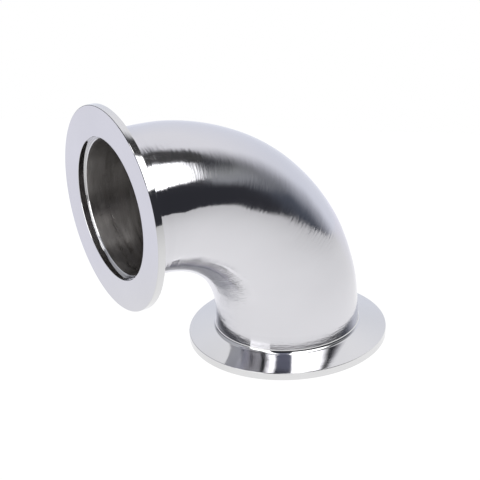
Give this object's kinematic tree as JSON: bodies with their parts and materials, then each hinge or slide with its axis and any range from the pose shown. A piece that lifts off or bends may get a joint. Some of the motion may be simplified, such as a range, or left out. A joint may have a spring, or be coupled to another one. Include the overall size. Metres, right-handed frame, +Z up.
{
  "type": "pipe elbow",
  "caption": "Polished stainless 90 degree pipe elbow: a smoothly bent tube with a round clamp flange, tapered at the back and recessed at the mouth, welded on each end.",
  "frame": {"origin": "centre of the lower port's sealing face", "axes": "+Z up along the lower port's axis into the fitting; the upper port looks along -X, its axis 70 mm above the lower face; Y is square to the plane of the bend"},
  "size_m": [0.1075, 0.075, 0.1075],
  "materials": {
    "polished_tube": "hand polished outside to a near mirror with faint crosswise polishing lines, satin brushed inside",
    "turned_flange": "turned and polished bright, with faint concentric tool lines",
    "weld_metal": "dressed flush and polished outside, low smooth root inside"
  },
  "bodies": {
    "root": {"bent_tube": "polished_tube", "lower_flange": "turned_flange", "upper_flange": "turned_flange", "lower_girth_weld": "weld_metal", "upper_girth_weld": "weld_metal"}
  },
  "joints": []
}
